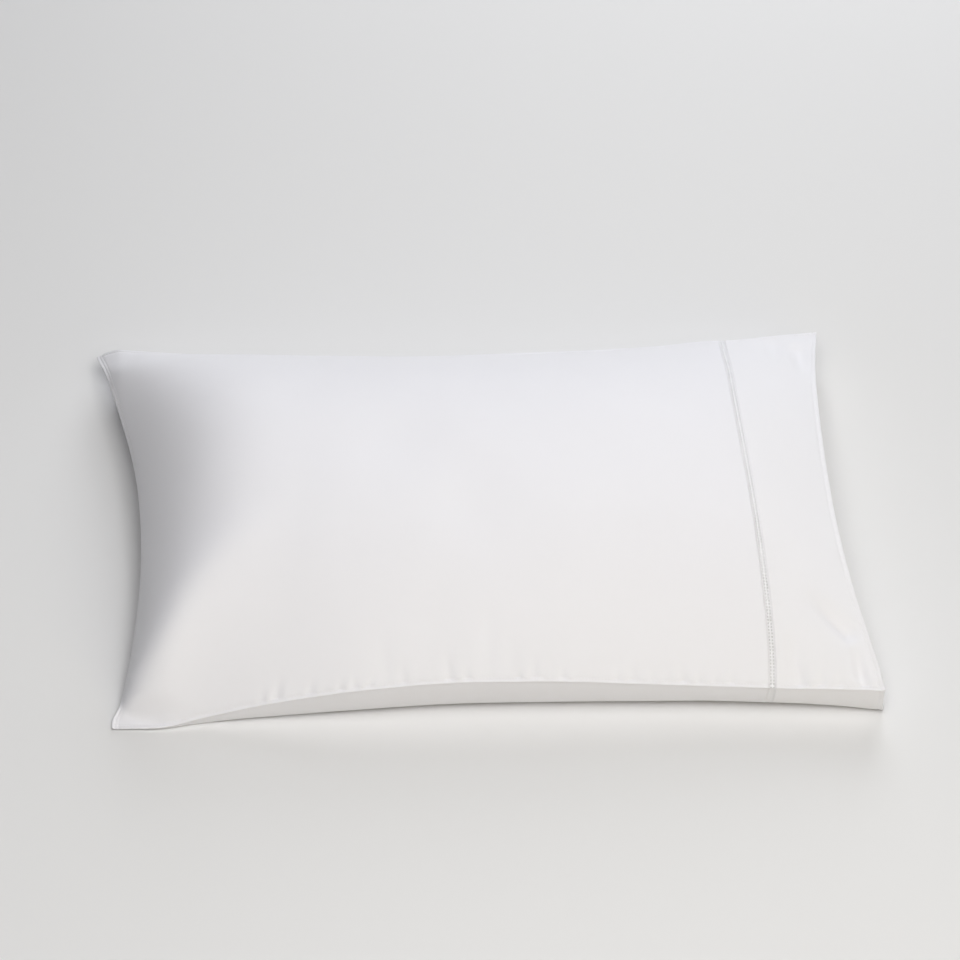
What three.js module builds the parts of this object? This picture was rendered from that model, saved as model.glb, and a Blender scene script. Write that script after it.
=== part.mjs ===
import * as THREE from 'three';
import { mergeVertices } from 'three/addons/utils/BufferGeometryUtils.js';

// A pillowcase on its pillow, lying on its back, in millimetres. The closed end is at -X and
// the open end, with its deep hemmed cuff, at +X. The case rests on Z = 0, front panel up.

// Driving sizes
const FLAT_LENGTH = 750; // the sewn case laid flat, cuff included
const FLAT_WIDTH = 500;
const CUFF_DEPTH = 100; // from the hemstitched join to the mouth
const CORNER_PULL_ALONG = 9; // how far the filling draws each corner in
const CORNER_PULL_ACROSS = 12;
const CUFF_WALL = 2; // a double hem
const CUFF_SEAM_WALL = 3; // the cuff is thicker at its side seams
const JOIN_GAP = 0.6; // between the case's edge and the cuff, measured along the case
const PILLOW_GAP = 2; // between the inside of the cuff and the pillow's end
const PILLOW_SEAM_GAP = 6.5; // and at the cuff's side seams, where the pillow is rounded

const HALF_LENGTH = FLAT_LENGTH / 2 - CORNER_PULL_ALONG;
const HALF_WIDTH = FLAT_WIDTH / 2 - CORNER_PULL_ACROSS;

// Cross sections along X. The near (-Y) and far (+Y) seams are drawn in from the straight line
// between their corners, stand at a height over the floor, and have the back panel tucked
// under them over a short width. crownZ is the height of the front panel at mid width.
const SECTIONS = [
  { x: -366, nearIn: 9.8, nearZ: 3, nearTuck: 4, farIn: 0.5, farZ: 22.5, farTuck: 20, crownZ: 130 },
  { x: -356, nearIn: 9.4, nearZ: 3, nearTuck: 4, farIn: 0.2, farZ: 29, farTuck: 22, crownZ: 130 },
  { x: -345, nearIn: 8.8, nearZ: 3, nearTuck: 4, farIn: 2.3, farZ: 34.5, farTuck: 24, crownZ: 130 },
  { x: -335, nearIn: 8.6, nearZ: 3.2, nearTuck: 4, farIn: 5.2, farZ: 36, farTuck: 25, crownZ: 130 },
  { x: -310, nearIn: 8, nearZ: 4.6, nearTuck: 4, farIn: 11.4, farZ: 39, farTuck: 26, crownZ: 132 },
  { x: -275, nearIn: 12, nearZ: 11, nearTuck: 4, farIn: 18, farZ: 42, farTuck: 26, crownZ: 134 },
  { x: -220, nearIn: 13, nearZ: 26, nearTuck: 9, farIn: 24, farZ: 46, farTuck: 26, crownZ: 137 },
  { x: -140, nearIn: 12, nearZ: 43, nearTuck: 18, farIn: 30, farZ: 48, farTuck: 26, crownZ: 140 },
  { x: -45, nearIn: 14, nearZ: 50, nearTuck: 22, farIn: 35, farZ: 50, farTuck: 26, crownZ: 141 },
  { x: 50, nearIn: 13, nearZ: 50, nearTuck: 23, farIn: 33, farZ: 50, farTuck: 26, crownZ: 140 },
  { x: 140, nearIn: 11, nearZ: 45, nearTuck: 24, farIn: 30, farZ: 50, farTuck: 26, crownZ: 136 },
  { x: 200, nearIn: 9, nearZ: 42, nearTuck: 26, farIn: 25, farZ: 49, farTuck: 26, crownZ: 129 },
  { x: 240, nearIn: 7, nearZ: 41, nearTuck: 25, farIn: 18, farZ: 47, farTuck: 26, crownZ: 122 },
  { x: 280, nearIn: 5, nearZ: 40, nearTuck: 23, farIn: 13, farZ: 44, farTuck: 24, crownZ: 110 },
  { x: 320, nearIn: 3, nearZ: 40, nearTuck: 18, farIn: 6, farZ: 42, farTuck: 20, crownZ: 95 },
  { x: 360, nearIn: 0, nearZ: 40, nearTuck: 12, farIn: 0, farZ: 40, farTuck: 16, crownZ: 78 },
];

// Lines across the case, from the near seam (across = 0) to the far one (across = 1): the closed
// seam, its height and the length over which the front rounds up from it, the join of the cuff,
// and the mouth's front and back hems. Each line is drawn in from the flat case's square end.
const END_LINES = [
  { across: 0.0, closedIn: 9.5, closedZ: 3, rounding: 44, joinIn: 10.5, frontHemIn: 5.7, backHemIn: 5.7 },
  { across: 0.02, closedIn: 10.5, closedZ: 3.6, rounding: 44, joinIn: 10.2, frontHemIn: 7.4, backHemIn: 0.8 },
  { across: 0.05, closedIn: 17.5, closedZ: 7.5, rounding: 44, joinIn: 10, frontHemIn: 10, backHemIn: 0 },
  { across: 0.1, closedIn: 23.5, closedZ: 17, rounding: 52, joinIn: 10.5, frontHemIn: 15.5, backHemIn: 3 },
  { across: 0.2, closedIn: 32, closedZ: 28, rounding: 84, joinIn: 12, frontHemIn: 25.5, backHemIn: 9 },
  { across: 0.35, closedIn: 39.2, closedZ: 36, rounding: 140, joinIn: 14, frontHemIn: 32.4, backHemIn: 13 },
  { across: 0.5, closedIn: 40, closedZ: 40, rounding: 150, joinIn: 15, frontHemIn: 32.8, backHemIn: 15 },
  { across: 0.65, closedIn: 34.8, closedZ: 40, rounding: 150, joinIn: 15, frontHemIn: 28.8, backHemIn: 13 },
  { across: 0.8, closedIn: 22.3, closedZ: 39, rounding: 150, joinIn: 11, frontHemIn: 21, backHemIn: 8 },
  { across: 0.9, closedIn: 11.2, closedZ: 37, rounding: 150, joinIn: 8, frontHemIn: 12.6, backHemIn: 4.6 },
  { across: 1.0, closedIn: 0, closedZ: 22.5, rounding: 150, joinIn: 2, frontHemIn: 2.6, backHemIn: 2.6 },
];

// Soft folds pressed into the front: each is a trough along a straight line, deepest at (x0, y0)
// and running out at (x1, y1), with a width and a depth.
const FOLDS = [
  { name: 'near ear', x0: -348, y0: -212, x1: -334, y1: -226, width: 6, depth: 16 },
  { name: 'near ear tab', x0: -345, y0: -221, x1: -285, y1: -240, width: 5.5, depth: 16 },
  { name: 'left pucker', x0: -103, y0: -226, x1: -112, y1: -176, width: 9, depth: 3.5 },
  { name: 'mid pucker', x0: -8, y0: -226, x1: -9, y1: -150, width: 9, depth: 3.5 },
  { name: 'mid pucker twin', x0: 12, y0: -226, x1: 8, y1: -178, width: 8, depth: 3 },
  { name: 'cuff corner', x0: 338, y0: 200, x1: 333, y1: 132, width: 9, depth: 9 },
  { name: 'cuff shoulder', x0: 316, y0: 214, x1: 306, y1: 158, width: 8, depth: 9 },
  { name: 'cuff crease', x0: 330, y0: -186, x1: 285, y1: -148, width: 9, depth: 6.5 },
  { name: 'cuff tip crease', x0: 339, y0: -224, x1: 336, y1: -190, width: 5, depth: 6 },
  { name: 'cuff pucker', x0: 277, y0: -226, x1: 275, y1: -184, width: 7, depth: 6 },
  { name: 'face dent', x0: -84, y0: 6, x1: -20, y1: 48, width: 42, depth: 3 },
  { name: 'face dent twin', x0: -20, y0: -78, x1: 34, y1: -24, width: 42, depth: 3 },
];

// The corners of the closed end, at the near (across = 0) and far seams: a panel is thin out to
// the tip distance from a corner and full beyond its reach. Spread lengthens an ear along X.
const EARS = {
  front: [{ across: 0, tip: 8, reach: 21, spread: 4 }, { across: 1, tip: 12, reach: 62, spread: 1 }],
  back: [{ across: 0, tip: 12, reach: 40, spread: 1.2 }, { across: 1, tip: 12, reach: 55, spread: 1 }],
};

// Form of the filling
const SEAM_SETTLING = 150; // the closed seam's own height fades out over this length
const CLOSED_TUCK = 26; // the back panel tucks under the closed seam over this length
const EAR_FILL = 0.12; // share of the filling left in an ear
const NEAR_PROFILE = { power: 2.35, roundness: 0.9 }; // from mid width out to a side seam
const FAR_PROFILE = { power: 2.25, roundness: 1 };
const END_PROFILE = { power: 2.3, roundness: 0.8 };
const CORNER_BLEND = 4; // exponent that rounds the tuck where two seams meet

// Filled end inside the cuff, as shares of the way from the join to the mouth
const PLUG_STRAIGHT_STEPS = 3;
const PLUG_ROUND_SHARE = 0.22;

// Mesh steps
const ACROSS_STEPS = 36;
const BODY_STEPS = 34;
const CUFF_STEPS = 9;
const PLUG_ROUND_STEPS = 5;
const BODY_STEP_EASE = 1.6; // steps are closer together at the closed end
const MERGE_DISTANCE = 1e-4;

function smoothStep(value) {
  const t = THREE.MathUtils.clamp(value, 0, 1);
  return t * t * (3 - 2 * t);
}

// A smooth curve through one column of a table, with the row's place in the table given by key
function curveValue(rows, key, column, at) {
  const place = THREE.MathUtils.clamp(at, rows[0][key], rows[rows.length - 1][key]);
  let i = 0;
  while (i < rows.length - 2 && place >= rows[i + 1][key]) {
    i += 1;
  }
  const chordSlope = (k) => (rows[k + 1][column] - rows[k][column]) / (rows[k + 1][key] - rows[k][key]);
  const rowSlope = (k) => {
    const before = chordSlope(Math.max(k - 1, 0));
    const after = chordSlope(Math.min(k, rows.length - 2));
    return (before + after) / 2;
  };
  const span = rows[i + 1][key] - rows[i][key];
  const t = (place - rows[i][key]) / span;
  const rise = smoothStep(t);
  const leave = t * (1 - t) * (1 - t) * span * rowSlope(i);
  const arrive = t * t * (t - 1) * span * rowSlope(i + 1);
  return THREE.MathUtils.lerp(rows[i][column], rows[i + 1][column], rise) + leave + arrive;
}

const section = (column, x) => curveValue(SECTIONS, 'x', column, x);
const endLine = (column, across) => curveValue(END_LINES, 'across', column, across);

const nearY = (x) => -HALF_WIDTH + section('nearIn', x);
const farY = (x) => HALF_WIDTH - section('farIn', x);
const seamY = (x, across) => THREE.MathUtils.lerp(nearY(x), farY(x), across);

const closedX = (across) => -HALF_LENGTH + endLine('closedIn', across);
const joinX = (across) => HALF_LENGTH - CUFF_DEPTH - endLine('joinIn', across);
const frontHemX = (across) => HALF_LENGTH - endLine('frontHemIn', across);
const backHemX = (across) => HALF_LENGTH - endLine('backHemIn', across);

// Height of the surface that the seams span, which is where front and back panels meet
function seamHeight(x, across) {
  const between = (atX) => THREE.MathUtils.lerp(section('nearZ', atX), section('farZ', atX), across);
  const own = endLine('closedZ', across) - between(closedX(across));
  const fromClosed = smoothStep((x - closedX(across)) / SEAM_SETTLING);
  return between(x) + own * (1 - fromClosed);
}

// 1 in the filled middle, EAR_FILL in the thin ears at the closed end's corners
function earFilling(x, y, side) {
  let filling = 1;
  for (const ear of EARS[side]) {
    const cornerX = closedX(ear.across);
    const away = Math.hypot((x - cornerX) / ear.spread, y - seamY(cornerX, ear.across));
    const outOfTip = (away - ear.tip) / (ear.reach - ear.tip);
    filling *= THREE.MathUtils.lerp(EAR_FILL, 1, smoothStep(outOfTip));
  }
  return filling;
}

// A rounded profile: 1 in the filled middle, where out = 0, and 0 at a seam, where out = 1
const fullness = (out, { power, roundness }) => (1 - out ** power) ** roundness;

function fullnessAcross(across) {
  return fullness(Math.abs(1 - 2 * across), across < 0.5 ? NEAR_PROFILE : FAR_PROFILE);
}

function fullnessFromClosedEnd(x, across) {
  const fromClosed = (x - closedX(across)) / endLine('rounding', across);
  const share = THREE.MathUtils.clamp(fromClosed, 0, 1);
  return fullness(1 - share, END_PROFILE);
}

function foldDepth(x, y) {
  let depth = 0;
  for (const fold of FOLDS) {
    const alongX = fold.x1 - fold.x0;
    const alongY = fold.y1 - fold.y0;
    const dot = (x - fold.x0) * alongX + (y - fold.y0) * alongY;
    const t = THREE.MathUtils.clamp(dot / (alongX * alongX + alongY * alongY), 0, 1);
    const away = Math.hypot(x - fold.x0 - t * alongX, y - fold.y0 - t * alongY);
    depth += fold.depth * (1 - smoothStep(t)) * Math.exp(-((away / fold.width) ** 2));
  }
  return depth;
}

// Height of the front panel over the seams
function frontRise(x, across) {
  const y = seamY(x, across);
  const seamsAtMid = (section('nearZ', x) + section('farZ', x)) / 2;
  const crown = section('crownZ', x) - seamsAtMid;
  const filled = fullnessFromClosedEnd(x, across) * fullnessAcross(across);
  const rise = crown * filled * earFilling(x, y, 'front');
  if (rise <= 0) {
    return 0;
  }
  return (rise * rise) / (rise + foldDepth(x, y));
}

// Depth of the back panel under the seams: a quarter round below each seam, then flat on the floor
function backDrop(x, across) {
  const y = seamY(x, across);
  const nearShare = Math.max(1 - (y - nearY(x)) / section('nearTuck', x), 0);
  const farShare = Math.max(1 - (farY(x) - y) / section('farTuck', x), 0);
  const closedShare = Math.max(1 - (x - closedX(across)) / CLOSED_TUCK, 0);
  const powers = nearShare ** CORNER_BLEND + farShare ** CORNER_BLEND + closedShare ** CORNER_BLEND;
  const share = Math.min(powers ** (1 / CORNER_BLEND), 1);
  const roundness = Math.sqrt(1 - share * share);
  return seamHeight(x, across) * roundness * earFilling(x, y, 'back');
}

// A point of the front or back panel's skin, or of a skin that lies within it: inset from the
// panel, and seamInset from the two side seams
function skinPoint(side, x, across, inset, seamInset) {
  const middleY = seamY(x, 0.5);
  const halfWidth = (farY(x) - nearY(x)) / 2;
  const y = middleY + (seamY(x, across) - middleY) * (1 - seamInset / halfWidth);
  const seamZ = seamHeight(x, across);
  const away = side === 'front' ? frontRise(x, across) : backDrop(x, across);
  const thinned = inset > 0 ? inset * (1 - Math.exp(-away / inset)) : 0;
  const direction = side === 'front' ? 1 : -1;
  return new THREE.Vector3(x, y, seamZ + direction * (away - thinned));
}

// A closed loop round the case, part of the way from one end line to the next: over the front
// from the near seam to the far one, and back underneath. A squash of 1 presses it flat.
function ring(lines, share, { shift = 0, inset = 0, seamInset = 0, squash = 0 }) {
  const front = [];
  const back = [];
  for (let i = 0; i <= ACROSS_STEPS; i += 1) {
    const across = (1 - Math.cos((Math.PI * i) / ACROSS_STEPS)) / 2;
    const frontX = THREE.MathUtils.lerp(lines.from(across), lines.frontTo(across), share) + shift;
    const backX = THREE.MathUtils.lerp(lines.from(across), lines.backTo(across), share) + shift;
    const above = skinPoint('front', frontX, across, inset, seamInset);
    const below = skinPoint('back', backX, across, inset, seamInset);
    const middle = above.clone().add(below).multiplyScalar(0.5);
    front.push(above.lerp(middle, squash));
    back.push(below.lerp(middle, squash));
  }
  return front.concat(back.slice(1, -1).reverse());
}

const BODY_LINES = { from: closedX, frontTo: joinX, backTo: joinX };
const CUFF_LINES = { from: joinX, frontTo: frontHemX, backTo: backHemX };

// The closed surface through a list of loops. With closed = true the last loop joins the first.
function solidFromRings(rings, closed) {
  const positions = [];
  const addTriangle = (a, b, c) => {
    const area = b.clone().sub(a).cross(c.clone().sub(a)).length();
    if (area > 0) {
      positions.push(...a.toArray(), ...b.toArray(), ...c.toArray());
    }
  };
  const spans = closed ? rings.length : rings.length - 1;
  for (let k = 0; k < spans; k += 1) {
    const here = rings[k];
    const next = rings[(k + 1) % rings.length];
    for (let i = 0; i < here.length; i += 1) {
      const j = (i + 1) % here.length;
      addTriangle(here[i], next[i], next[j]);
      addTriangle(here[i], next[j], here[j]);
    }
  }
  const geometry = new THREE.BufferGeometry();
  geometry.setAttribute('position', new THREE.Float32BufferAttribute(positions, 3));
  return mergeVertices(geometry, MERGE_DISTANCE);
}

// The filled case: front and back panels from the closed seam to the cuff's join, and the
// pillow's rounded end that carries on a little way inside the cuff.
function makeBody() {
  const insideCuff = { inset: CUFF_WALL + PILLOW_GAP, seamInset: CUFF_SEAM_WALL + PILLOW_SEAM_GAP };
  const rings = [];
  for (let i = 0; i <= BODY_STEPS; i += 1) {
    rings.push(ring(BODY_LINES, (i / BODY_STEPS) ** BODY_STEP_EASE, {}));
  }
  for (let i = 0; i <= PLUG_STRAIGHT_STEPS; i += 1) {
    rings.push(ring(CUFF_LINES, i / CUFF_STEPS, insideCuff));
  }
  for (let i = 1; i <= PLUG_ROUND_STEPS; i += 1) {
    const angle = (Math.PI / 2) * (i / PLUG_ROUND_STEPS);
    const share = PLUG_STRAIGHT_STEPS / CUFF_STEPS + PLUG_ROUND_SHARE * Math.sin(angle);
    const squash = i === PLUG_ROUND_STEPS ? 1 : 1 - Math.cos(angle);
    rings.push(ring(CUFF_LINES, share, { ...insideCuff, squash }));
  }
  return solidFromRings(rings, false);
}

// The cuff: an open sleeve, out along its outer skin to the mouth and home along its inner one
function makeCuff() {
  const outer = [];
  const inner = [];
  for (let i = 0; i <= CUFF_STEPS; i += 1) {
    const shift = i === 0 ? JOIN_GAP : 0;
    outer.push(ring(CUFF_LINES, i / CUFF_STEPS, { shift }));
    inner.push(ring(CUFF_LINES, i / CUFF_STEPS, { shift, inset: CUFF_WALL, seamInset: CUFF_SEAM_WALL }));
  }
  return solidFromRings(outer.concat(inner.reverse()), true);
}

function clothMaterial(color) {
  return new THREE.MeshStandardMaterial({ color, roughness: 0.85, metalness: 0 });
}

const pillowcase = new THREE.Group();

const body = new THREE.Mesh(makeBody(), clothMaterial(0xf2f1f4));
body.name = 'case_body';
pillowcase.add(body);

const cuff = new THREE.Mesh(makeCuff(), clothMaterial(0xf5f4f6));
cuff.name = 'cuff';
pillowcase.add(cuff);

export default pillowcase;
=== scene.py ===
"""Looks of a filled pillowcase with a hemstitched cuff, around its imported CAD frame."""

import math

import bmesh
import bpy
import numpy as np
from mathutils import Matrix, Vector


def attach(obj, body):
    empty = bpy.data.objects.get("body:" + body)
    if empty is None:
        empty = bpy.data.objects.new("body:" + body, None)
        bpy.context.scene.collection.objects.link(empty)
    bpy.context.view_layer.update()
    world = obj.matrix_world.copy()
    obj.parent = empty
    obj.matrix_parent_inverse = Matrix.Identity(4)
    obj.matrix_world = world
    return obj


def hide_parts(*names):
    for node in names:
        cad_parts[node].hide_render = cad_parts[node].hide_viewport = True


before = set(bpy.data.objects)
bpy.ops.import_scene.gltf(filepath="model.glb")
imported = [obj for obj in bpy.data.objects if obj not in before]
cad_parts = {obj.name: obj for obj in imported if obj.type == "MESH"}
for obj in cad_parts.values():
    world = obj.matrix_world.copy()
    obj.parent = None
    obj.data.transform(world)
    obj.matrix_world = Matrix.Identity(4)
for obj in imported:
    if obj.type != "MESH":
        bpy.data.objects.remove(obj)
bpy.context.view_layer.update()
MM = 0.001

# ---------------------------------------------------------------- sizes, in millimetres
FLAT_LENGTH = 750.0  # the sewn case laid flat, cuff included
FLAT_WIDTH = 500.0
CUFF_DEPTH = 100.0  # from the hemstitched join to the mouth
CORNER_PULL_ALONG = 9.0  # how far the filling draws each corner in
CORNER_PULL_ACROSS = 12.0
HALF_LENGTH = FLAT_LENGTH / 2 - CORNER_PULL_ALONG
HALF_WIDTH = FLAT_WIDTH / 2 - CORNER_PULL_ACROSS
CUFF_WALL = 1.6  # a double hem
PILLOW_GAP = 1.4  # between the inside of the cuff and the pillow's end
PILLOW_SEAM_GAP = 6.5  # and at the cuff's side seams
BAND_HALF = 2.6  # half the width of the hemstitched band
BAND_SINK = 1.1  # how far the body's edge steps down under the band
FLOOR_GAP = 0.05  # the lowest cloth stays this far over the floor

# Form of the filling
SEAM_SETTLING = 150.0  # the closed seam's own height fades out over this length
CLOSED_TUCK = 26.0  # the back panel tucks under the closed seam over this length
EDGE_LIFT = 2.6  # the back clears the floor by this much along its tucked edges
EDGE_LIFT_REACH = 14.0
EDGE_LIFT_SEAM = (4.0, 24.0)  # the lift comes in as the seam's height goes from one to the other
EAR_FILL = 0.12  # share of the filling left in an ear
CORNER_BLEND = 4  # exponent that rounds the tuck where two seams meet
# Profiles of the front, as a power and a roundness: from mid width out to each side seam, and
# from the full front down to the closed end
NEAR_PROFILE = (2.35, 0.9)
FAR_PROFILE = (2.25, 1.0)
END_PROFILE = (2.3, 0.8)
TINY = 1e-9  # keeps a division clear of zero


def table(columns, rows):
    """A table as one array for each of its named columns."""
    return {name: np.array(values, float) for name, values in zip(columns.split(), zip(*rows))}


# Cross sections along X. The near (-Y) and far (+Y) seams are drawn in from the straight line
# between their corners, stand at a height over the floor, and have the back panel tucked under
# them over a short width. crown_z is the height of the front panel at mid width.
SECTIONS = table("x near_in near_z near_tuck far_in far_z far_tuck crown_z", [
    (-366, 9.8, 3, 4, 0.5, 22.5, 20, 130),
    (-356, 9.4, 3, 4, 0.2, 29, 22, 130),
    (-345, 8.8, 3, 4, 2.3, 34.5, 24, 130),
    (-335, 8.6, 3.2, 4, 5.2, 36, 25, 130),
    (-310, 8, 4.6, 4, 11.4, 39, 26, 132),
    (-275, 12, 11, 4, 18, 42, 26, 134),
    (-220, 13, 26, 9, 24, 46, 26, 137),
    (-140, 12, 43, 18, 30, 48, 26, 140),
    (-45, 14, 50, 22, 35, 50, 26, 141),
    (50, 13, 50, 23, 33, 50, 26, 140),
    (140, 11, 45, 24, 30, 50, 26, 136),
    (200, 9, 42, 26, 25, 49, 26, 129),
    (240, 7, 41, 25, 18, 47, 26, 122),
    (280, 5, 40, 23, 13, 44, 24, 110),
    (320, 3, 40, 18, 6, 42, 20, 95),
    (360, 0, 40, 12, 0, 40, 16, 78),
])
# The end lines of the case, from the near seam (across = 0) to the far one: how far the closed
# end, the join and the hem's front and back edges are drawn in from the corners, the height of
# the closed seam, and the length over which the front rises from it.
END_LINES = table("across closed_in closed_z rounding join_in front_hem_in back_hem_in", [
    (0.0, 9.5, 3, 44, 10.5, 5.7, 5.7),
    (0.02, 10.5, 3.6, 44, 10.2, 7.4, 0.8),
    (0.05, 17.5, 7.5, 44, 10, 10, 0),
    (0.1, 23.5, 17, 52, 10.5, 15.5, 3),
    (0.2, 32, 28, 84, 12, 25.5, 9),
    (0.35, 39.2, 36, 140, 14, 32.4, 13),
    (0.5, 40, 40, 150, 15, 32.8, 15),
    (0.65, 34.8, 40, 150, 15, 28.8, 13),
    (0.8, 22.3, 39, 150, 11, 21, 8),
    (0.9, 11.2, 37, 150, 8, 12.6, 4.6),
    (1.0, 0, 22.5, 150, 2, 2.6, 2.6),
])
# Soft folds pressed into the front: each is a trough along a straight line, deepest at (x0, y0)
# and running out at (x1, y1), with a width and a depth.
FOLDS = table("x0 y0 x1 y1 width depth", [
    (-348, -212, -334, -226, 6, 16),  # near corner of the closed end
    (-345, -221, -285, -240, 5.5, 16),
    (-103, -226, -112, -176, 9, 3.5),  # puckers at the near seam
    (-8, -226, -9, -150, 9, 3.5),
    (12, -226, 8, -178, 8, 3),
    (338, 200, 333, 132, 9, 9),  # the cuff, at its far corner
    (316, 214, 306, 158, 8, 9),
    (331, -185, 285, -148, 8, 9.5),  # and at its near one
    (339, -224, 336, -190, 5, 6),
    (277, -226, 275, -184, 7, 6),
    (-84, 6, -20, 48, 42, 3),  # dents in the face
    (-20, -78, 34, -24, 42, 3),
])
# The corners of the closed end: a panel is thin out to the tip distance from a corner and full
# beyond its reach. An ear with a spread is longer along the side seam.
EARS = {
    "front": (
        {"at": 0.0, "tip": 8, "reach": 21, "spread": 4},
        {"at": 1.0, "tip": 12, "reach": 62, "spread": 1},
    ),
    "back": (
        {"at": 0.0, "tip": 12, "reach": 40, "spread": 1.2},
        {"at": 1.0, "tip": 12, "reach": 55, "spread": 1},
    ),
}
# Small puckers that the sewing draws up the front from the near seam: place along it, length up
# the front, lean, width and depth
PUCKERS = table("x length lean width depth", [
    (-219, 11, 1, 4, 1.5),
    (-206, 18, 3, 5, 1.9),
    (-175, 13, 3, 4, 1.5),
    (-147, 11, 1, 4, 1.5),
    (-134, 12, 1, 4, 1.5),
    (-123, 11, 8, 4, 1.9),
    (-88, 18, -2, 5, 1.9),
    (-45, 21, -3, 5, 2.1),
    (-29, 10, -1, 4, 1.9),
    (18, 8, 1, 4, 1.7),
    (33, 18, -1, 5, 1.7),
    (40, 7, 1, 3, 1.5),
    (60, 11, -1, 4, 1.7),
    (110, 11, 1, 4, 1.3),
    (125, 15, -1, 5, 1.5),
    (143, 11, 1, 4, 1.3),
    (173, 17, -3, 5, 1.5),
    (188, 10, -1, 4, 1.3),
    (202, 10, 1, 4, 1.3),
    (219, 12, -1, 4, 1.3),
    (283, 20, -1, 6, 2.1),
    (301, 15, 2, 5, 1.5),
    (320, 12, -1, 5, 1.5),
    (343, 21, -3, 6, 2.3),
])


# ---------------------------------------------------------------- the shape
def smooth_step(value):
    t = np.clip(value, 0, 1)
    return t * t * (3 - 2 * t)


def curve(rows, key, column, at):
    """A smooth curve through one column of a table, at places given by its key column."""
    keys = rows[key]
    values = rows[column]
    at = np.clip(at, keys[0], keys[-1])
    chord = np.diff(values) / np.diff(keys)
    slope = (np.concatenate([chord[:1], chord]) + np.concatenate([chord, chord[-1:]])) / 2
    i = np.clip(np.searchsorted(keys, at, side="right") - 1, 0, len(keys) - 2)
    span = keys[i + 1] - keys[i]
    t = (at - keys[i]) / span
    rise = smooth_step(t)
    leave = t * (1 - t) ** 2 * span * slope[i]
    arrive = t * t * (t - 1) * span * slope[i + 1]
    return values[i] * (1 - rise) + values[i + 1] * rise + leave + arrive


def section(column, x):
    return curve(SECTIONS, "x", column, x)


def end_line(column, across):
    return curve(END_LINES, "across", column, across)


def near_y(x):
    return -HALF_WIDTH + section("near_in", x)


def far_y(x):
    return HALF_WIDTH - section("far_in", x)


def seam_y(x, across):
    return near_y(x) * (1 - across) + far_y(x) * across


def closed_x(across):
    return -HALF_LENGTH + end_line("closed_in", across)


def join_x(across):
    return HALF_LENGTH - CUFF_DEPTH - end_line("join_in", across)


def front_hem_x(across):
    return HALF_LENGTH - end_line("front_hem_in", across)


def back_hem_x(across):
    return HALF_LENGTH - end_line("back_hem_in", across)


def between_seams(x, across):
    return section("near_z", x) * (1 - across) + section("far_z", x) * across


def seam_height(x, across):
    """Height of the surface on which the front and the back meet."""
    own = end_line("closed_z", across) - between_seams(closed_x(across), across)
    from_closed = smooth_step((x - closed_x(across)) / SEAM_SETTLING)
    return between_seams(x, across) + own * (1 - from_closed)


def ear_filling(x, y, side):
    """Share of the filling at a place, less near the corners of the closed end."""
    filling = 1.0
    for ear in EARS[side]:
        corner_x = closed_x(ear["at"])
        away = np.hypot((x - corner_x) / ear["spread"], y - seam_y(corner_x, ear["at"]))
        rise = smooth_step((away - ear["tip"]) / (ear["reach"] - ear["tip"]))
        filling = filling * (EAR_FILL + (1 - EAR_FILL) * rise)
    return filling


def fullness(out, profile):
    """A profile that falls from 1 at the middle to 0 at the edge, where out is 1."""
    power, roundness = profile
    return np.clip(1 - out**power, 0, 1) ** roundness


def fold_depth(x, y):
    """Depth of the soft folds at a place, all together."""
    depth = np.zeros_like(x)
    for x0, y0, x1, y1, width, deep in zip(*FOLDS.values()):
        along = np.array([x1 - x0, y1 - y0])
        t = np.clip(((x - x0) * along[0] + (y - y0) * along[1]) / (along @ along), 0, 1)
        away = np.hypot(x - x0 - t * along[0], y - y0 - t * along[1])
        depth += deep * (1 - smooth_step(t)) * np.exp(-((away / width) ** 2))
    return depth


def front_rise(x, across):
    """How far the front stands over the seams' height. A fold takes less where the rise is low."""
    y = seam_y(x, across)
    crown = section("crown_z", x) - (section("near_z", x) + section("far_z", x)) / 2
    off_centre = np.abs(1 - 2 * across)
    near_over = fullness(off_centre, NEAR_PROFILE)
    far_over = fullness(off_centre, FAR_PROFILE)
    over = np.where(across < 0.5, near_over, far_over)
    share = np.clip((x - closed_x(across)) / end_line("rounding", across), 0, 1)
    rise = crown * over * fullness(1 - share, END_PROFILE) * ear_filling(x, y, "front")
    rise = np.maximum(rise, 0)
    return np.where(rise > 0, rise * rise / (rise + fold_depth(x, y) + TINY), 0)


def back_drop(x, across):
    """How far the back hangs under the seams' height, down to the floor or a little over it."""
    y = seam_y(x, across)
    near_tuck = section("near_tuck", x)
    far_tuck = section("far_tuck", x)
    near_share = np.maximum(1 - (y - near_y(x)) / near_tuck, 0)
    far_share = np.maximum(1 - (far_y(x) - y) / far_tuck, 0)
    closed_share = np.maximum(1 - (x - closed_x(across)) / CLOSED_TUCK, 0)
    powers = near_share**CORNER_BLEND + far_share**CORNER_BLEND + closed_share**CORNER_BLEND
    share = np.minimum(powers ** (1 / CORNER_BLEND), 1)
    seam_z = seam_height(x, across)
    above_floor = seam_z * (1 - np.sqrt(1 - share * share) * ear_filling(x, y, "back"))
    beyond_tuck = np.minimum(y - near_y(x) - near_tuck, far_y(x) - y - far_tuck)
    low, high = EDGE_LIFT_SEAM
    lift = EDGE_LIFT * smooth_step((seam_z - low) / (high - low))
    lift = lift * (1 - smooth_step(beyond_tuck / EDGE_LIFT_REACH))
    return np.maximum(seam_z - np.cbrt(above_floor**3 + lift**3), 0)


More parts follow.
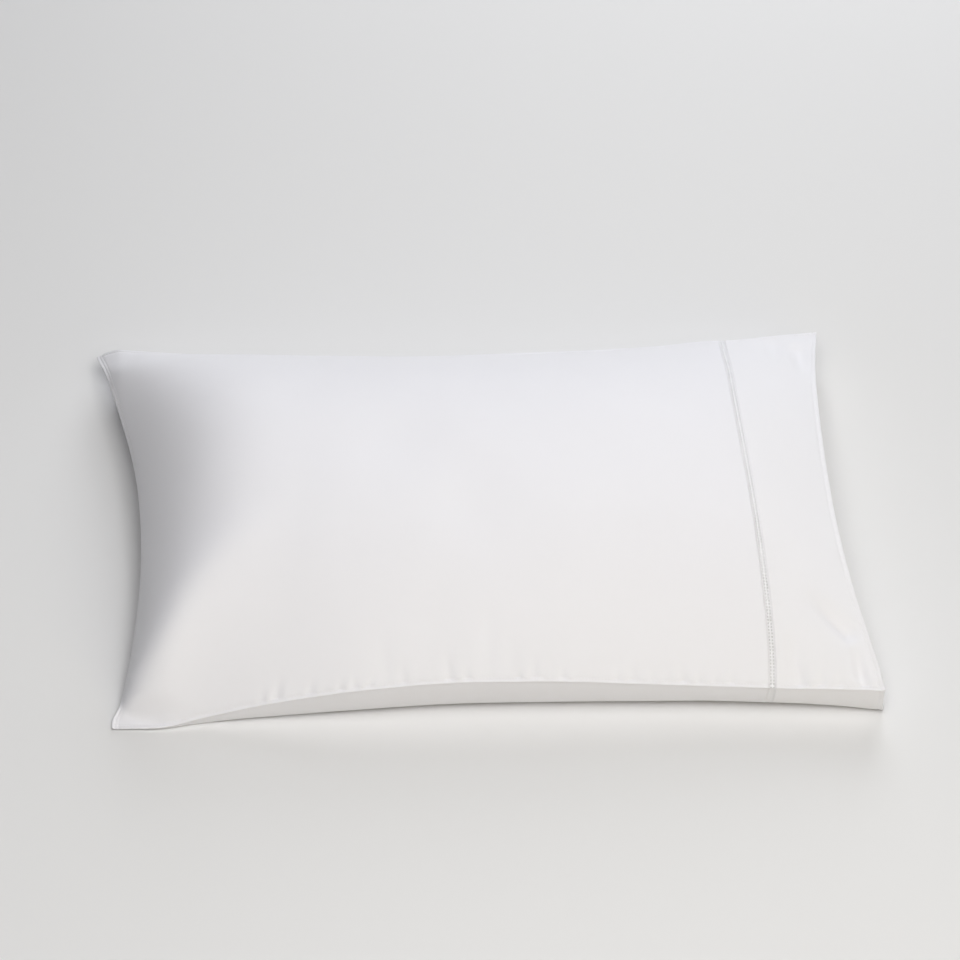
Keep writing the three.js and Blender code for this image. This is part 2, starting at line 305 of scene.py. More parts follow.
def skin(side, x, across, inset=0.0, seam_inset=0.0):
    """Points of the front or back panel, or of a skin that lies inset within it."""
    middle = seam_y(x, 0.5)
    half_width = (far_y(x) - near_y(x)) / 2
    y = middle + (seam_y(x, across) - middle) * (1 - seam_inset / half_width)
    away = front_rise(x, across) if side == "front" else back_drop(x, across)
    if inset > 0:
        away = away - inset * (1 - np.exp(-away / inset))
    direction = 1 if side == "front" else -1
    return np.stack([x, y, seam_height(x, across) + direction * away], -1)


# ---------------------------------------------------------------- fine relief of the sewn cloth
SEAM_LIP = 1.25  # how far a turned seam stands proud at the sides
CLOSED_LIP = 0.5
SEAM_LIP_WIDTH = 1.2
STITCH_LINE = 3.2  # a row of stitches this far in from a side seam
CLOSED_STITCH_LINES = (2.6, 5.4)  # the closed seam has two rows
STITCH_GROOVE = 0.45
GROOVE_WIDTH = 0.8
MOUTH_ROLL = 0.6  # the pressed edge of the hem
MOUTH_ROLL_SPREAD = 2  # it is this many times as wide as a seam's lip
MOUTH_GROOVE = 3.6  # and how far in its inner fold shows
SEAM_CLOTH = 0.45  # half the thickness of the cloths along a seam
SEAM_CLOTH_REACH = 1.6  # full thickness is reached this far in
LIP_RISE = 0.3  # share of a lip's push that lifts it
LATTICE = 64  # cells before the noise repeats
LATTICE_START = 500
PUCKER_RIDGE = 0.45  # a pucker's two ridges, as a share of its depth
PUCKER_RIDGE_PLACE = 1.3  # and how many of its widths they lie off its line
PUCKER_FULL = 0.15  # a pucker is full up to this share of its length
PUCKER_FADE = 1.6  # how fast it runs out beyond that
PUCKER_START = 2.5  # and comes in over this distance from the seam
GATHER_CELL = 7.0  # spacing of the gathers along a seam
GATHER_BROAD_CELL = 15.0
GATHER_BROAD_SHARE = 0.6
GATHER_START = 3.0  # they come in over this distance from the seam
# Faint irregular gathers that run up from each seam: seed of their noise, reach and depth
NEAR_GATHERS = (11, 9.0, 0.35)
FAR_GATHERS = (21, 12.0, 0.45)
CLOSED_GATHERS = (41, 12.0, 0.4)
# Low unevenness of the filling: height, cell and seed of its noise
UNEVENNESS = ((0.5, 62.0, 31), (0.22, 27.0, 32))
SIDE_START = 4.0  # the relief comes in over this distance from a side seam
CLOSED_START = 6.0  # and from the closed one


def lattice_noise(x, y, cell, seed):
    """Smooth seeded noise between -1 and 1 over cells of the given size."""
    values = np.random.default_rng(seed).uniform(-1, 1, (LATTICE, LATTICE))
    u = x / cell + LATTICE_START
    v = y / cell + LATTICE_START
    i = np.floor(u).astype(int)
    j = np.floor(v).astype(int)
    s = smooth_step(u - i)
    t = smooth_step(v - j)
    i, i_next = i % LATTICE, (i + 1) % LATTICE
    j, j_next = j % LATTICE, (j + 1) % LATTICE
    low = values[i, j] * (1 - s) + values[i_next, j] * s
    high = values[i, j_next] * (1 - s) + values[i_next, j_next] * s
    return low * (1 - t) + high * t


def arc(points, axis):
    """Distance walked along each row of points, or along each column."""
    steps = np.linalg.norm(np.diff(points, axis=axis), axis=-1)
    start = np.zeros_like(np.take(steps, [0], axis=axis))
    return np.concatenate([start, np.cumsum(steps, axis=axis)], axis=axis)


def pucker_relief(x, from_near):
    """Height of the small puckers at a place along the near seam and a distance up the front."""
    relief = np.zeros_like(x)
    for at, length, lean, width, depth in zip(*PUCKERS.values()):
        up = from_near / length
        centre = at + lean * np.clip(up, 0, 1)
        fade = np.exp(-(np.maximum(up - PUCKER_FULL, 0) ** 2) * PUCKER_FADE)
        fade = fade * smooth_step(from_near / PUCKER_START)
        across = (x - centre) / width
        left_ridge = PUCKER_RIDGE * np.exp(-((across + PUCKER_RIDGE_PLACE) ** 2))
        right_ridge = PUCKER_RIDGE * np.exp(-((across - PUCKER_RIDGE_PLACE) ** 2))
        relief += depth * (right_ridge + left_ridge - np.exp(-(across**2))) * fade
    return relief


def seam_gathers(along, from_seam, seed, reach, depth):
    """Height of the gathers at places along a seam and at distances from it."""
    still = np.zeros_like(along)
    waves = lattice_noise(along, still, GATHER_CELL, seed)
    waves = waves + GATHER_BROAD_SHARE * lattice_noise(along, still, GATHER_BROAD_CELL, seed + 1)
    return depth * waves * np.exp(-from_seam / reach) * smooth_step(from_seam / GATHER_START)


def lip(distance, height=SEAM_LIP):
    """A rounded edge that stands proud along a seam."""
    return height * np.exp(-((distance / SEAM_LIP_WIDTH) ** 2))


def groove(distance, place, depth=STITCH_GROOVE):
    """A shallow groove along a line at a place in from a seam."""
    return -depth * np.exp(-(((distance - place) / GROOVE_WIDTH) ** 2))


def dress(points, side, closed_edge=False, mouth_edge=False):
    """Adds seams, gathers and puckers to a panel: rows run across it from the near seam."""
    from_near = arc(points, 1)
    from_far = from_near[:, -1:] - from_near
    x = points[..., 0]
    y = points[..., 1]
    front = side == "front"
    lift = np.zeros_like(x)
    if front:
        lift += pucker_relief(x, from_near)
        lift += seam_gathers(x, from_near, *NEAR_GATHERS)
        lift += seam_gathers(x, from_far, *FAR_GATHERS)
        lift += sum(height * lattice_noise(x, y, cell, seed) for height, cell, seed in UNEVENNESS)
        lift *= smooth_step(from_near / SIDE_START) * smooth_step(from_far / SIDE_START)
        lift += groove(from_near, STITCH_LINE) + groove(from_far, STITCH_LINE)
    if mouth_edge:
        along = arc(points, 0)
        from_mouth = along[-1:] - along
        lift += lip(from_mouth / MOUTH_ROLL_SPREAD, MOUTH_ROLL)
        lift += groove(from_mouth, MOUTH_GROOVE, MOUTH_ROLL)
    near_push = lip(from_near)
    far_push = lip(from_far)
    closed_push = np.zeros_like(x)
    from_seam = np.minimum(from_near, from_far)
    if closed_edge:
        from_closed = arc(points, 0)
        from_seam = np.minimum(from_seam, from_closed)
        closed_push = lip(from_closed, CLOSED_LIP)
        if front:
            lift += seam_gathers(y, from_closed, *CLOSED_GATHERS)
            lift *= smooth_step(from_closed / CLOSED_START)
            lift += sum(groove(from_closed, line) for line in CLOSED_STITCH_LINES)
    lift += SEAM_CLOTH * np.sqrt(1 - (1 - np.minimum(from_seam / SEAM_CLOTH_REACH, 1)) ** 2)
    out = points + normals(points) * (lift if front else -lift)[..., None]
    out[..., 0] -= closed_push
    out[..., 1] += far_push - near_push
    out[..., 2] += LIP_RISE * (far_push + near_push + closed_push)
    if not front:
        out[..., 2] = np.maximum(out[..., 2], FLOOR_GAP)
    return out


def normals(points):
    along = np.gradient(points, axis=0)
    across = np.gradient(points, axis=1)
    normal = np.cross(along, across)
    length = np.linalg.norm(normal, axis=-1, keepdims=True)
    return normal / np.maximum(length, TINY)


# ---------------------------------------------------------------- spacing of the mesh
def eased_steps(total, first, last, growth=1.18, both=False):
    """Distances from 0 to total, close together at the start (and at the end), then even."""
    steps = []
    step = first
    covered = 0.0
    limit = total / 2 if both else total
    while covered < limit:
        steps.append(min(step, last))
        covered += steps[-1]
        step *= growth
    if both:
        steps = steps + steps[::-1]
    places = np.concatenate([[0], np.cumsum(steps)])
    return places * total / places[-1]


# Columns of the mesh: shares of the way across the front, and as many across the back, where
# each tucked edge is turned through the angles and the rest lie over the flat middle
ACROSS_FRONT = eased_steps(1.0, 0.0005, 0.0066, both=True)
TUCK_ANGLES = np.radians(np.concatenate([[0, 1, 2, 3.2, 4.6], np.arange(7, 90, 4.0), [90]]))
FLAT_COLUMNS = len(ACROSS_FRONT) - 2 * len(TUCK_ANGLES)


def across_back(near_x, far_x):
    """Places across the back: round each tucked edge, then wide over the flat middle."""
    turn = 1 - np.cos(TUCK_ANGLES)
    width = far_y(near_x) - near_y(near_x)
    near = turn[None, :] * (section("near_tuck", near_x) / width)[:, None]
    far = 1 - turn[None, ::-1] * (section("far_tuck", far_x) / width)[:, None]
    share = np.linspace(0, 1, FLAT_COLUMNS + 2)[1:-1]
    flat = near[:, -1:] * (1 - share) + far[:, :1] * share
    return np.concatenate([near, flat, far], axis=1)


def panel(side, start, end, shares, blend=0.0, **inner):
    """A grid of points: a ring for each share of the way from one end line to the next. The first
    rings, over the share called blend, ease into their spacing from that of the front."""
    shares = shares[:, None]
    ends = [start(v) * (1 - shares[:, 0]) + end(v) * shares[:, 0] for v in (0.0, 1.0)]
    if side == "front":
        across = np.repeat(ACROSS_FRONT[None, :], len(shares), axis=0)
    else:
        across = across_back(*ends)
        if blend > 0:
            ease = smooth_step(shares / blend)
            across = ACROSS_FRONT[None, :] * (1 - ease) + across * ease
    x = start(across) * (1 - shares) + end(across) * shares
    return skin(side, x, across, **inner)


def loop(front, back):
    """Joins the two panels' rings: over the front from near to far, and back underneath."""
    return np.concatenate([front, back[:, -2:0:-1]], axis=1)


# ---------------------------------------------------------------- meshes
def link_mesh(name, mesh):
    obj = bpy.data.objects.new(name, mesh)
    bpy.context.scene.collection.objects.link(obj)
    return obj


def grid_mesh(name, rings, uv, material, holes=None):
    """A mesh through closed rings of points, in millimetres, with a UV place in metres of flat
    cloth, and for each point where there is openwork how open its hole is, which the material
    turns into painted shade."""
    count, columns = rings.shape[:2]
    here = np.arange(count - 1)[:, None] * columns
    c = np.arange(columns)[None, :]
    d = (c + 1) % columns
    quads = np.stack([here + c, here + columns + c, here + columns + d, here + d], -1)
    mesh = bpy.data.meshes.new(name)
    mesh.vertices.add(count * columns)
    mesh.vertices.foreach_set("co", (rings.reshape(-1, 3) * MM).astype(np.float32).ravel())
    faces = quads.reshape(-1, 4)
    mesh.loops.add(faces.size)
    mesh.loops.foreach_set("vertex_index", faces.ravel().astype(np.int32))
    mesh.polygons.add(len(faces))
    mesh.polygons.foreach_set("loop_start", np.arange(0, faces.size, 4, dtype=np.int32))
    mesh.polygons.foreach_set("use_smooth", np.ones(len(faces), dtype=bool))
    mesh.materials.append(material)
    layer = mesh.uv_layers.new(name="cloth")
    k = np.arange(count - 1)[:, None]
    corners = np.stack([uv[k, c], uv[k + 1, c], uv[k + 1, c + 1], uv[k, c + 1]], axis=2)
    layer.data.foreach_set("uv", corners.astype(np.float32).ravel())
    if holes is not None:
        attribute = mesh.attributes.new("hole", "FLOAT", "POINT")
        attribute.data.foreach_set("value", holes.astype(np.float32).ravel())
    mesh.update(calc_edges=True)
    mesh.validate()
    return link_mesh(name, mesh)


WELD_DISTANCE = 5e-7  # metres


def weld(obj, cap_end=False):
    """Joins the coinciding edges, and closes an end that is still open."""
    bm = bmesh.new()
    bm.from_mesh(obj.data)
    bmesh.ops.remove_doubles(bm, verts=bm.verts, dist=WELD_DISTANCE)
    if cap_end:
        open_edges = [edge for edge in bm.edges if edge.is_boundary]
        bmesh.ops.contextual_create(bm, geom=open_edges)
    bm.to_mesh(obj.data)
    bm.free()


def cloth_uv(rings):
    """Flat places of a loop of points: v round the case, from its arc length, and u along it."""
    closed = np.concatenate([rings, rings[:, :1]], axis=1)
    return np.stack([arc(closed, 0), arc(closed, 1)], -1) * MM


# ---------------------------------------------------------------- materials
SLUB_SCALE = (40, 1400)  # along a thread and across it, for each metre of cloth
SLUB_SHARE = 0.3  # of the unevenness of tone, the rest being broad
WEAVE_SHARE = 0.35  # height of the weave, with that of the slubs as 1
BUMP_STRENGTH = 0.55
TONE_SCALE = 9.0


def node(tree, kind, links=None, **values):
    """A node with values for its inputs, and for its own settings where a name starts with _."""
    made = tree.nodes.new(kind)
    for key, value in values.items():
        if key.startswith("_"):
            setattr(made, key[1:], value)
        else:
            made.inputs[key.replace("__", " ")].default_value = value
    for key, source in (links or {}).items():
        tree.links.new(source, made.inputs[key])
    return made


def math_node(tree, operation, first, second=None):
    made = tree.nodes.new("ShaderNodeMath")
    made.operation = operation
    for socket, value in zip(made.inputs, (first, second)):
        if value is None:
            continue
        if isinstance(value, (int, float)):
            socket.default_value = value
        else:
            tree.links.new(value, socket)
    return made.outputs[0]


def mix_colours(tree, factor, first, second):
    mix = tree.nodes.new("ShaderNodeMix")
    mix.data_type = "RGBA"
    tree.links.new(factor, mix.inputs[0])
    for socket, value in ((mix.inputs[6], first), (mix.inputs[7], second)):
        if isinstance(value, tuple):
            socket.default_value = (*value, 1)
        else:
            tree.links.new(value, socket)
    return mix.outputs[2]


def thread_noise(tree, place, scale):
    """Noise drawn out along one way of the cloth."""
    stretched = node(tree, "ShaderNodeMapping", {"Vector": place}, Scale=(*scale, 1))
    noise = node(
        tree, "ShaderNodeTexNoise", {"Vector": stretched.outputs[0]}, Scale=1.0, Detail=2.0)
    return noise.outputs["Fac"]


def cloth(name, colour, shade, thread=0.42, bump=0.05, hole=None):
    """White cotton in a plain weave, with its threads, slubs and faint unevenness of tone. The
    width of a thread and the height of the bump are in millimetres. A hole colour, where given,
    is painted shade, mixed in where the openwork's holes open."""
    material = bpy.data.materials.new(name)
    material.use_nodes = True
    tree = material.node_tree
    shader = tree.nodes["Principled BSDF"]
    shader.inputs["Roughness"].default_value = 0.8
    shader.inputs["Specular IOR Level"].default_value = 0.3
    shader.inputs["Sheen Weight"].default_value = 0.25
    shader.inputs["Sheen Roughness"].default_value = 0.5
    place = tree.nodes.new("ShaderNodeTexCoord").outputs["UV"]
    split = node(tree, "ShaderNodeSeparateXYZ", {0: place})
    turns = math.pi / (thread * MM)
    warp = math_node(tree, "SINE", math_node(tree, "MULTIPLY", split.outputs["X"], turns))
    weft = math_node(tree, "SINE", math_node(tree, "MULTIPLY", split.outputs["Y"], turns))
    weave = math_node(tree, "MULTIPLY", warp, weft)
    warp_slubs = thread_noise(tree, place, SLUB_SCALE)
    weft_slubs = thread_noise(tree, place, SLUB_SCALE[::-1])
    slubs = math_node(tree, "ADD", warp_slubs, weft_slubs)
    height = math_node(tree, "ADD", math_node(tree, "MULTIPLY", weave, WEAVE_SHARE), slubs)
    relief = node(
        tree, "ShaderNodeBump", {"Height": height}, Strength=BUMP_STRENGTH, Distance=bump * MM)
    tree.links.new(relief.outputs["Normal"], shader.inputs["Normal"])
    broad = node(tree, "ShaderNodeTexNoise", {"Vector": place}, Scale=TONE_SCALE, Detail=3.0)
    broad_tone = math_node(tree, "MULTIPLY", broad.outputs["Fac"], 1 - SLUB_SHARE)
    fine_tone = math_node(tree, "MULTIPLY", slubs, SLUB_SHARE)
    tone = math_node(tree, "ADD", broad_tone, fine_tone)
    result = mix_colours(tree, tone, shade, colour)
    # Painted shade: the openwork's holes are darkened towards the hole colour, standing in for the
    # shade inside them
    if hole is not None:
        depth = node(tree, "ShaderNodeAttribute", _attribute_name="hole").outputs["Fac"]
        result = mix_colours(tree, depth, result, hole)
    tree.links.new(result, shader.inputs["Base Color"])
    return material


CASE = cloth("case_cotton", (0.898, 0.895, 0.935), (0.873, 0.87, 0.91))
CUFF = cloth("cuff_cotton", (0.908, 0.905, 0.94), (0.883, 0.88, 0.915))
TICKING = cloth("pillow_ticking", (0.86, 0.86, 0.85), (0.80, 0.80, 0.79), thread=0.6, bump=0.09)
# The hemstitch's cotton, with a dark grey painted into its holes as painted shade
OPENWORK = cloth(
    "hemstitch_thread", (0.90, 0.90, 0.935), (0.87, 0.87, 0.905),
    thread=0.5, bump=0.1, hole=(0.55, 0.55, 0.56))
THREAD = cloth("sewing_thread", (0.88, 0.88, 0.89), (0.80, 0.80, 0.81), thread=0.2, bump=0.06)

# ---------------------------------------------------------------- the filled case
BODY_TURN = np.radians(np.arange(0, 91, 3.0))  # rings round the tuck of the closed end
BODY_STEP = 2.6  # then evenly on to the join
BODY_STEPS = 232
BODY_BLEND = 0.08
UNDER_BAND_SEAM_INSET = 1.5


def body_edge(across):
    return join_x(across) - BAND_HALF


def under_band(side):
    """The last ring of a panel, stepped down to go on under the hemstitched band."""
    end = np.array([1.0])
    return panel(
        side, closed_x, body_edge, end, inset=BAND_SINK, seam_inset=UNDER_BAND_SEAM_INSET)


def make_case():
    closed_turn = CLOSED_TUCK * (1 - np.cos(BODY_TURN))
    places = np.concatenate([closed_turn, CLOSED_TUCK + np.cumsum(np.full(BODY_STEPS, BODY_STEP))])
    shares = places / places[-1]
    front = panel("front", closed_x, body_edge, shares)
    front = dress(front, "front", closed_edge=True)
    back = panel("back", closed_x, body_edge, shares, blend=BODY_BLEND)
    back = dress(back, "back", closed_edge=True)
    under = loop(under_band("front"), under_band("back"))
    rings = np.concatenate([loop(front, back), under])
    case = grid_mesh("case_panels", rings, cloth_uv(rings), CASE)
    weld(case, cap_end=True)
    return case, front


case, body_front = make_case()

# ---------------------------------------------------------------- the end of the pillow
# Its rings go on from the case as shares of the way from the join to the mouth: first round an
# inner end, then straight, and then round the end that shows in the open cuff.
PILLOW_COLUMNS = 97
PILLOW_INNER_SHARE = 0.3
PILLOW_INNER_ANGLES = np.radians([0, 30, 60, 90])
PILLOW_STRAIGHT = np.linspace(0.06, 1 / 3, 5)
PILLOW_ROUND_SHARE = 0.22
PILLOW_ANGLES = [8, 16, 24, 32, 40, 48, 56, 64, 71, 77, 81, 84, 86, 87.5, 88.8, 90]
PILLOW_SEAM = {84: -0.3, 87.5: 0.6, 88.8: 1.2, 90: 1.4}  # its end seam stands out, by angle


def pillow_tip_x(across):
    return (front_hem_x(across) + back_hem_x(across)) / 2


def pillow_ring(share, squash, forward=0.0):
    """A ring round the pillow inside the cuff, squashed by a share towards its middle."""
    across = ((1 - np.cos(np.linspace(0, math.pi, PILLOW_COLUMNS))) / 2)[None, :]
    x = join_x(across) * (1 - share) + pillow_tip_x(across) * share
    inset = CUFF_WALL + PILLOW_GAP
    front = skin("front", x, across, inset, CUFF_WALL + PILLOW_SEAM_GAP)
    back = skin("back", x, across, inset, CUFF_WALL + PILLOW_SEAM_GAP)
    middle = (front + back) / 2
    ring = loop(front + (middle - front) * squash, back + (middle - back) * squash)
    ring[..., 0] += forward
    return ring


def make_pillow():
    rings = []
    for turn in PILLOW_INNER_ANGLES:
        rings.append(pillow_ring(-PILLOW_INNER_SHARE * math.cos(turn), 1 - math.sin(turn)))
    for share in PILLOW_STRAIGHT:
        rings.append(pillow_ring(share, 0.0))
    for angle in PILLOW_ANGLES:
        turn = math.radians(angle)
        share = PILLOW_STRAIGHT[-1] + PILLOW_ROUND_SHARE * math.sin(turn)
        rings.append(pillow_ring(share, 1 - math.cos(turn), PILLOW_SEAM.get(angle, 0.0)))
    rings = np.concatenate(rings)
    pillow = grid_mesh("pillow_end", rings, cloth_uv(rings), TICKING)
    weld(pillow)
    return pillow


pillow = make_pillow()

# ---------------------------------------------------------------- the cuff
CUFF_STEPS = eased_steps(1.0, 0.004, 0.024)  # from the mouth back to the join
CUFF_INNER_STEPS = 22
CUFF_SEAM_WALL = 2.0
MOUTH_ANGLES = np.radians([25, 55, 90, 125, 155])
MOUTH_ROUND = 0.9


def cuff_edge(across):
    return join_x(across) + BAND_HALF


def cuff_inside(side, hem_x):
    shares = np.linspace(1, 0, CUFF_INNER_STEPS)
    return panel(side, cuff_edge, hem_x, shares, inset=CUFF_WALL, seam_inset=CUFF_SEAM_WALL)


def mouth_edge_rings(outer, inner):
    """Rings that turn the cloth over at the mouth, from the outer skin to the inner one."""
    rings = []
    for angle in MOUTH_ANGLES:
        turn = (1 - math.cos(angle)) / 2
        ring = outer[-1] * (1 - turn) + inner[0] * turn
        ring[:, 0] += MOUTH_ROUND * math.sin(angle)
        rings.append(ring)
    return np.array(rings)


def make_cuff():
    shares = 1 - CUFF_STEPS[::-1]
    front = dress(panel("front", cuff_edge, front_hem_x, shares), "front", mouth_edge=True)
    back = dress(panel("back", cuff_edge, back_hem_x, shares), "back", mouth_edge=True)
    outer = loop(front, back)
    inner = loop(cuff_inside("front", front_hem_x), cuff_inside("back", back_hem_x))
    rings = np.concatenate([outer, mouth_edge_rings(outer, inner), inner, outer[:1]])
    cuff = grid_mesh("cuff_sleeve", rings, cloth_uv(rings), CUFF)
    weld(cuff)
    return cuff, front


cuff, cuff_front = make_cuff()

# ---------------------------------------------------------------- hemstitch
# Two lines of holes with a rail of wrapped thread outside them and drawn threads between, each
# given by its place from the middle of the band and its half width
STITCH_PITCH = 3.15
STITCH_COLUMNS = 8  # of the mesh, for each stitch
BAND_PLACES = np.linspace(-BAND_HALF, BAND_HALF, 19)
HOLE_PLACE = 1.35
HOLE_HALF = 0.62
HOLE_DEPTH = 0.6
HOLE_CLOSED = 0.22  # between two bars, a hole starts to open here, from 0 at a bar to 1 midway
HOLE_EASE = 0.4  # and is open after this share more
RAIL_PLACE = 2.25
RAIL_HALF = 0.42
RAIL_HEIGHT = 0.3
RAIL_WRAP = 0.4  # its height swings by this share to each side with the stitches
MIDDLE_HALF = 0.5
MIDDLE_HEIGHT = 0.12
BAND_BASE = -0.1
DRAWN_CELL = 11.0  # the drawn threads open the holes unevenly
DRAWN_SEED = 51
DRAWN_SHARE = 0.25
JOIN_SAMPLES = 4000


def even_across(side, count):
    """Places across a panel, evenly spaced along the join, and the length of the join."""
    turn = (1 - np.cos(np.linspace(0, math.pi, JOIN_SAMPLES))) / 2
    points = skin(side, join_x(turn), turn)
    length = arc(points[None], 1)[0]
    return np.interp(np.linspace(0, length[-1], count), length, turn), length[-1]


def band_panel(side):
    """Points of the band on one side, and how open its cloth is at each, which also sets the painted
    shade in its holes.
    """
    stitches = round(even_across(side, 2)[1] / STITCH_PITCH)
    columns = stitches * STITCH_COLUMNS + 1
    across = even_across(side, columns)[0][None, :]
    x = join_x(across) + BAND_PLACES[:, None]
    points = dress(skin(side, x, np.repeat(across, len(BAND_PLACES), axis=0)), side)
    phase = np.linspace(0, 2 * math.pi * stitches, columns)[None, :]
    s = np.abs(BAND_PLACES)[:, None]
    between = 0.5 + 0.5 * np.cos(phase)
    hole = np.exp(-(((s - HOLE_PLACE) / HOLE_HALF) ** 4))
    hole = hole * smooth_step((between - HOLE_CLOSED) / HOLE_EASE)
    along = phase * STITCH_PITCH / (2 * math.pi)
    drawn = lattice_noise(along, 0 * phase, DRAWN_CELL, DRAWN_SEED)
    hole = hole * (1 - DRAWN_SHARE + DRAWN_SHARE * drawn) * (1 if side == "front" else 0)
    rail = np.exp(-(((s - RAIL_PLACE) / RAIL_HALF) ** 2))
    wrap = 1 - RAIL_WRAP + RAIL_WRAP * np.cos(phase + math.pi)
    middle = np.exp(-((s / MIDDLE_HALF) ** 2))
    height = RAIL_HEIGHT * rail * wrap + MIDDLE_HEIGHT * middle - HOLE_DEPTH * hole + BAND_BASE
    outward = 1 if side == "front" else -1
    out = points + outward * normals(points) * height[..., None]
    out[..., 2] = np.maximum(out[..., 2], FLOOR_GAP)
    return out, hole


def make_hemstitch():
    front, front_holes = band_panel("front")
    back, back_holes = band_panel("back")
    rings = loop(front, back)
    # The holes' openness goes on to the material, which paints shade into them
    return grid_mesh(
        "hemstitch", rings, cloth_uv(rings), OPENWORK, holes=loop(front_holes, back_holes))


hemstitch = make_hemstitch()

# ---------------------------------------------------------------- sewing
STITCH_LENGTH = 2.3
STITCH_STEP = 3.0
THREAD_HALF = 0.22
THREAD_TIP = 0.35  # girth of a stitch at its ends, as a share
THREAD_SINK = 0.6  # share of its half width by which its ends go into the cloth
THREAD_SIDES = 6
STITCH_RINGS = 5
SEAM_MARGIN = 5.0


def at_distance(values, away, distance):
    """The value in each row of points at a distance along it."""
    found = []
    for row, walked in zip(values, away):
        found.append([np.interp(distance, walked, column) for column in row.T])
    return np.array(found)


def seam_line(points, axis, distance, from_end=False):
    """The line on a panel that lies a distance in from its edge, and the panel's normal there."""
    if axis == 0:
        points = points.swapaxes(0, 1)
    if from_end:
        points = points[:, ::-1]
    away = arc(points, 1)
    facing = normals(points)
    facing *= np.where(facing[..., 2:] < 0, -1, 1)
    return at_distance(points, away, distance), at_distance(facing, away, distance)


def stitches(line, facing):
    """Rounded stitches along a line, each a ring of sides round a short arched centre line."""
    along = arc(line[None], 1)[0]
    starts = np.arange(SEAM_MARGIN, along[-1] - SEAM_MARGIN - STITCH_LENGTH, STITCH_STEP)
    share = np.linspace(0, 1, STITCH_RINGS)
    places = starts[:, None] + share * STITCH_LENGTH
    centre = np.stack([np.interp(places, along, line[:, i]) for i in range(3)], -1)
    up = np.stack([np.interp(places, along, facing[:, i]) for i in range(3)], -1)
    up /= np.linalg.norm(up, axis=-1, keepdims=True)
    forward = np.gradient(centre, axis=1)
    sideways = np.cross(forward, up)
    sideways /= np.linalg.norm(sideways, axis=-1, keepdims=True)
    arch = np.sin(math.pi * share)
    girth = (THREAD_TIP + (1 - THREAD_TIP) * np.sqrt(arch))[:, None, None] * THREAD_HALF
    turn = np.arange(THREAD_SIDES) * 2 * math.pi / THREAD_SIDES
    around = np.cos(turn)[:, None] * sideways[:, :, None] + np.sin(turn)[:, None] * up[:, :, None]
    lifted = centre + up * ((arch - THREAD_SINK) * THREAD_HALF)[:, None]
    return lifted[:, :, None] + around * girth


def thread_mesh(name, rows):
    """One mesh of many stitches."""
    points = np.concatenate([stitches(*row) for row in rows])
    count = len(points)
    first = np.arange(count)[:, None, None] * STITCH_RINGS * THREAD_SIDES
    ring = np.arange(STITCH_RINGS - 1)[:, None] * THREAD_SIDES
    side = np.arange(THREAD_SIDES)
    after = (side + 1) % THREAD_SIDES
    low = first + ring
    high = low + THREAD_SIDES
    quads = np.stack([low + side, low + after, high + after, high + side], -1).reshape(-1, 4)
    last_ring = (STITCH_RINGS - 1) * THREAD_SIDES
    caps = np.concatenate([first[:, 0] + side[::-1], first[:, 0] + last_ring + side])
    mesh = bpy.data.meshes.new(name)
    mesh.from_pydata((points.reshape(-1, 3) * MM).tolist(), [], quads.tolist() + caps.tolist())
    mesh.materials.append(THREAD)
    mesh.polygons.foreach_set("use_smooth", np.ones(len(mesh.polygons), dtype=bool))
    mesh.uv_layers.new(name="cloth")
    mesh.update()
    return link_mesh(name, mesh)


def side_seams(panel_points):
    """The stitch lines of a panel's near and far seams."""
    near = seam_line(panel_points, 1, STITCH_LINE)
    far = seam_line(panel_points, 1, STITCH_LINE, from_end=True)
    return [near, far]


closed_seam = [seam_line(body_front, 0, distance) for distance in CLOSED_STITCH_LINES]
case_stitches = thread_mesh("case_stitches", side_seams(body_front) + closed_seam)
cuff_stitches = thread_mesh("cuff_stitches", side_seams(cuff_front))

# ---------------------------------------------------------------- stage, light and camera
FLOOR_CORNERS = [(-4, -4, 0), (4, -4, 0), (4, 6, 0), (-4, 6, 0)]
FLOOR_COLOUR = (0.80, 0.80, 0.805, 1)
LIGHT_DISTANCE = 2.6
LIGHT_SIZE = 1.6
LIGHT_TARGET = Vector((0, 0, 0.05))
WARM = (1.0, 0.86, 0.5)
NEUTRAL = (1.0, 0.99, 0.975)
COOL = (0.96, 0.975, 1.0)
WORLD_COLOUR = (0.97, 0.98, 1.0, 1)
WORLD_STRENGTH = 0.02
# Softboxes, aimed at the pillow: azimuth from +X towards the far side, elevation, power and colour
LIGHTS = (
    ("overhead", -90, 68, 26, NEUTRAL),
    ("near", -90, 56, 14.5, NEUTRAL),
    ("near_right", -45, 58, 9.5, NEUTRAL),
    ("near_left", -115, 62, 3, NEUTRAL),
    ("near_low", -65, 14, 9, WARM),
    ("right", 45, 35, 2.8, COOL),
    ("far_high", 75, 35, 17.5, COOL),
    ("far_low", 75, 20, 19, COOL),
)
CAMERA_ELEVATION = math.radians(46.299)
CAMERA_TURN = math.radians(-7.711)
CAMERA_ROLL = math.radians(4.424)
CAMERA_DISTANCE = 3.6
CAMERA_TARGET = Vector((0.00138, 0.02308, 0.060))
CAMERA_LENS = 139.56
CAMERA_SENSOR = 36.0


def make_floor():
    mesh = bpy.data.meshes.new("floor")
    mesh.from_pydata(FLOOR_CORNERS, [], [(0, 1, 2, 3)])
    material = bpy.data.materials.new("floor_paint")
    material.use_nodes = True
    shader = material.node_tree.nodes["Principled BSDF"]
    shader.inputs["Base Color"].default_value = FLOOR_COLOUR
    shader.inputs["Roughness"].default_value = 0.7
    shader.inputs["Specular IOR Level"].default_value = 0.2
    mesh.materials.append(material)
    return link_mesh("floor", mesh)


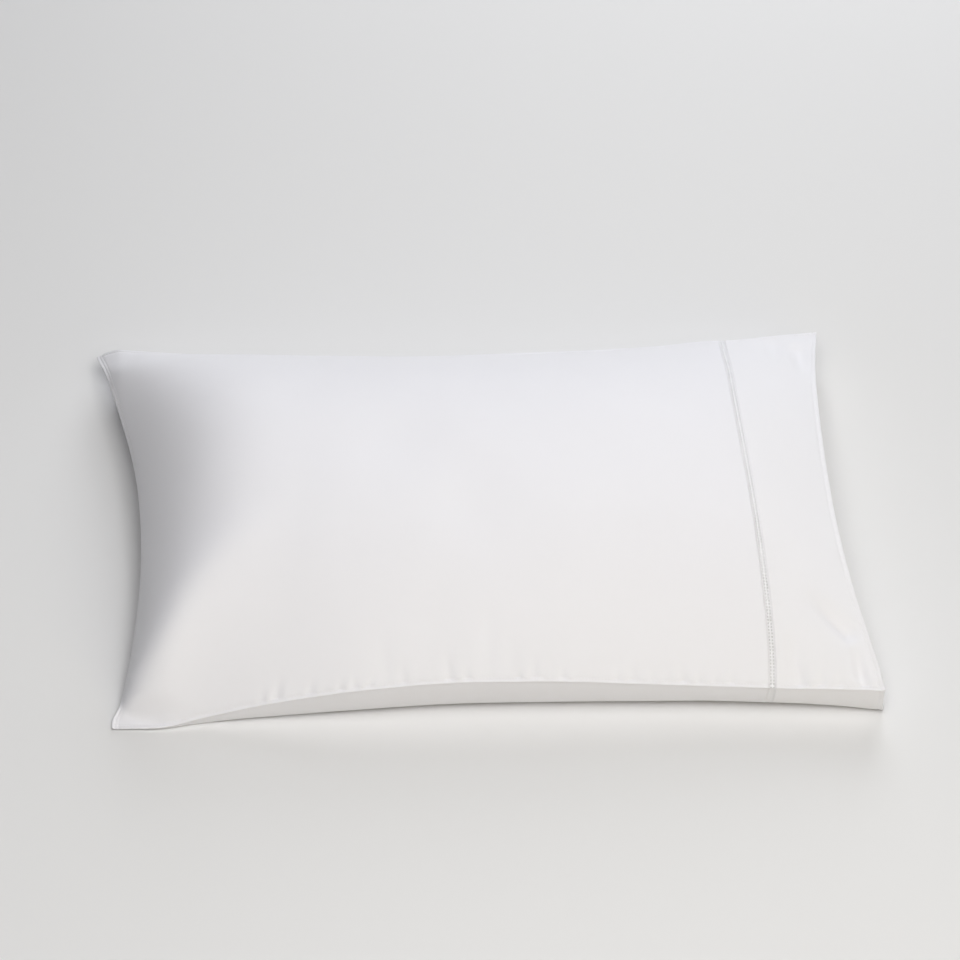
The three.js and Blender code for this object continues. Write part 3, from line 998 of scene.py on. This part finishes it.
def make_light(name, azimuth, elevation, power, colour):
    data = bpy.data.lights.new(name, "AREA")
    data.shape = "SQUARE"
    data.size = LIGHT_SIZE
    data.energy = power
    data.color = colour
    turn = math.radians(azimuth)
    tilt = math.radians(elevation)
    flat = math.cos(tilt)
    out = Vector((math.cos(turn) * flat, math.sin(turn) * flat, math.sin(tilt)))
    light = bpy.data.objects.new(name, data)
    light.location = out * LIGHT_DISTANCE
    light.rotation_mode = "QUATERNION"
    light.rotation_quaternion = (LIGHT_TARGET - light.location).to_track_quat("-Z", "Y")
    bpy.context.scene.collection.objects.link(light)


def make_world():
    world = bpy.data.worlds.new("studio")
    world.use_nodes = True
    background = world.node_tree.nodes["Background"]
    background.inputs["Color"].default_value = WORLD_COLOUR
    background.inputs["Strength"].default_value = WORLD_STRENGTH
    bpy.context.scene.world = world
    bpy.context.scene.view_settings.view_transform = "Standard"


def make_camera():
    data = bpy.data.cameras.new("camera")
    data.sensor_width = CAMERA_SENSOR
    data.lens = CAMERA_LENS
    camera = bpy.data.objects.new("camera", data)
    bpy.context.scene.collection.objects.link(camera)
    toward = Vector((math.sin(CAMERA_TURN), -math.cos(CAMERA_TURN), 0)) * math.cos(CAMERA_ELEVATION)
    back = toward + Vector((0, 0, math.sin(CAMERA_ELEVATION)))
    level = Vector((math.cos(CAMERA_TURN), math.sin(CAMERA_TURN), 0))
    upright = back.cross(level)
    right = math.cos(CAMERA_ROLL) * level + math.sin(CAMERA_ROLL) * upright
    up = -math.sin(CAMERA_ROLL) * level + math.cos(CAMERA_ROLL) * upright
    place = CAMERA_TARGET + back * CAMERA_DISTANCE
    camera.matrix_world = Matrix((
        (right.x, up.x, back.x, place.x),
        (right.y, up.y, back.y, place.y),
        (right.z, up.z, back.z, place.z),
        (0, 0, 0, 1),
    ))
    return camera


floor = make_floor()
for softbox in LIGHTS:
    make_light(*softbox)
make_world()
camera = make_camera()
bpy.context.scene.camera = camera

# ---------------------------------------------------------------- how the pieces belong to the frame
for piece in (case, pillow, cuff, hemstitch, case_stitches, cuff_stitches):
    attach(piece, "root")
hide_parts("case_body")
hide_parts("cuff")
